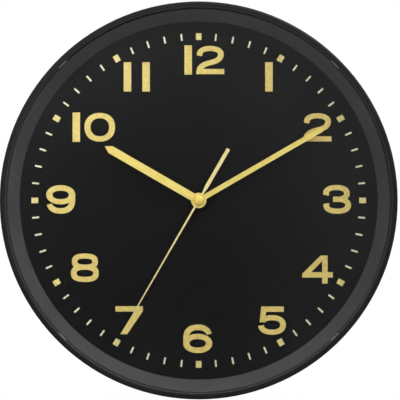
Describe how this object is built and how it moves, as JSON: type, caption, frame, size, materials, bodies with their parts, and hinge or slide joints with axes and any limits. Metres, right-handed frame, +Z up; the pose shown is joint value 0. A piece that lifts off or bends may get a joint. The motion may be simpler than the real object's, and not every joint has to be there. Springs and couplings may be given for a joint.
{
  "type": "wall clock",
  "caption": "Round quartz wall clock: black case, flat glass, sloping grey inner ring, black dial with gold numerals, markers and hands, geared battery movement, keyhole hanger at the back.",
  "frame": {"origin": "on the axis of the hands, in the plane of the case's back rim, which lies against the wall", "axes": "+Z up through 12 on the dial, +Y into the wall, +X to the right as the face is read; the face looks along -Y"},
  "size_m": [0.3, 0.043, 0.3],
  "materials": {
    "black_rim": "satin black moulded plastic",
    "glass": "clear flat mineral glass",
    "clip_steel": "small pressed steel angles",
    "seal": "matt black foam rubber",
    "grey_ring": "fine matt grey paint on plastic",
    "dial_black": "matt black paint on aluminium",
    "gold_foil": "brushed gold-coloured foil",
    "gold_hand": "brushed gold-anodised aluminium",
    "case_black": "textured black moulded plastic",
    "screw_steel": "zinc-plated steel",
    "movement_black": "black moulded plastic",
    "cover_white": "off-white moulded plastic",
    "rubber": "black rubber",
    "brass": "turned brass",
    "gear_white": "natural acetal",
    "steel": "bright steel",
    "ferrite": "sintered magnet",
    "laminate": "soft-iron sheet",
    "bobbin_plastic": "cream moulded plastic",
    "copper": "enamelled copper wire",
    "board_green": "solder-masked fibreglass",
    "can_metal": "drawn metal can",
    "epoxy": "black epoxy",
    "contact_metal": "nickel-plated spring strip",
    "cell_wrap": "plain printed wrap on a steel can"
  },
  "bodies": {
    "case": {"front_bezel": "black_rim", "lens": "glass", "lens_clips": "clip_steel", "lens_seal": "seal", "inner_ring": "grey_ring", "dial": "dial_black", "hour_numerals": "gold_foil", "hour_markers": "gold_foil", "minute_markers": "gold_foil", "case_body": "case_black", "case_screws": "screw_steel", "movement_base": "movement_black", "movement_cover": "cover_white", "middle_plate": "gear_white", "rubber_washer": "rubber", "dial_washer": "brass", "centre_nut": "brass", "stator": "laminate", "coil_core": "laminate", "coil_bobbin": "bobbin_plastic", "coil_winding": "copper", "circuit_board": "board_green", "quartz_crystal": "can_metal", "driver_chip": "epoxy", "positive_contact": "contact_metal", "negative_contact": "contact_metal", "battery": "cell_wrap"},
    "second": {"seconds_arbor": "steel", "seconds_wheel": "gear_white", "second_hand": "gold_hand", "second_hand_tube": "brass", "second_hand_cap": "gold_hand"},
    "minute": {"centre_wheel": "brass", "minute_arbor": "brass", "minute_hand": "gold_hand", "minute_hand_bush": "brass"},
    "hour": {"hour_wheel": "brass", "hour_hand": "gold_hand", "hour_hand_bush": "brass"},
    "motion_wheel": {"minute_wheel": "gear_white"},
    "third": {"third_wheel": "gear_white"},
    "intermediate": {"intermediate_wheel": "gear_white"},
    "motor_rotor": {"rotor": "gear_white", "rotor_magnet": "ferrite"},
    "knob": {"setting_knob": "movement_black"}
  },
  "joints": [
    {"name": "second_turn", "type": "hinge", "parent": "case", "child": "second", "pos_m": [0, -0.01, 0], "axis": [0, 1, 0], "continuous": true},
    {"name": "minute_turn", "type": "hinge", "parent": "case", "child": "minute", "pos_m": [0, -0.01, 0], "axis": [0, 1, 0], "continuous": true},
    {"name": "hour_turn", "type": "hinge", "parent": "case", "child": "hour", "pos_m": [0, -0.01, 0], "axis": [0, 1, 0], "continuous": true},
    {"name": "minute_wheel_turn", "type": "hinge", "parent": "case", "child": "motion_wheel", "pos_m": [0.012, -0.01, 0], "axis": [0, 1, 0], "continuous": true},
    {"name": "third_wheel_turn", "type": "hinge", "parent": "case", "child": "third", "pos_m": [0.00264, -0.01, 0.00985], "axis": [0, 1, 0], "continuous": true},
    {"name": "intermediate_turn", "type": "hinge", "parent": "case", "child": "intermediate", "pos_m": [-0.00987, -0.01, 0.00359], "axis": [0, 1, 0], "continuous": true},
    {"name": "rotor_turn", "type": "hinge", "parent": "case", "child": "motor_rotor", "pos_m": [-0.01459, -0.01, -0.0001], "axis": [0, 1, 0], "continuous": true},
    {"name": "knob_turn", "type": "hinge", "parent": "case", "child": "knob", "pos_m": [0.01971, -0.01, -0.00919], "axis": [0, 1, 0], "continuous": true}
  ],
  "couplings": [
    {"joint": "minute_turn", "follows": "second_turn", "ratio": 0.016667},
    {"joint": "hour_turn", "follows": "second_turn", "ratio": 0.0013889},
    {"joint": "minute_wheel_turn", "follows": "second_turn", "ratio": -0.0055556},
    {"joint": "third_wheel_turn", "follows": "second_turn", "ratio": -0.13333},
    {"joint": "intermediate_turn", "follows": "second_turn", "ratio": -6},
    {"joint": "rotor_turn", "follows": "second_turn", "ratio": 30},
    {"joint": "knob_turn", "follows": "second_turn", "ratio": 0.016667}
  ]
}
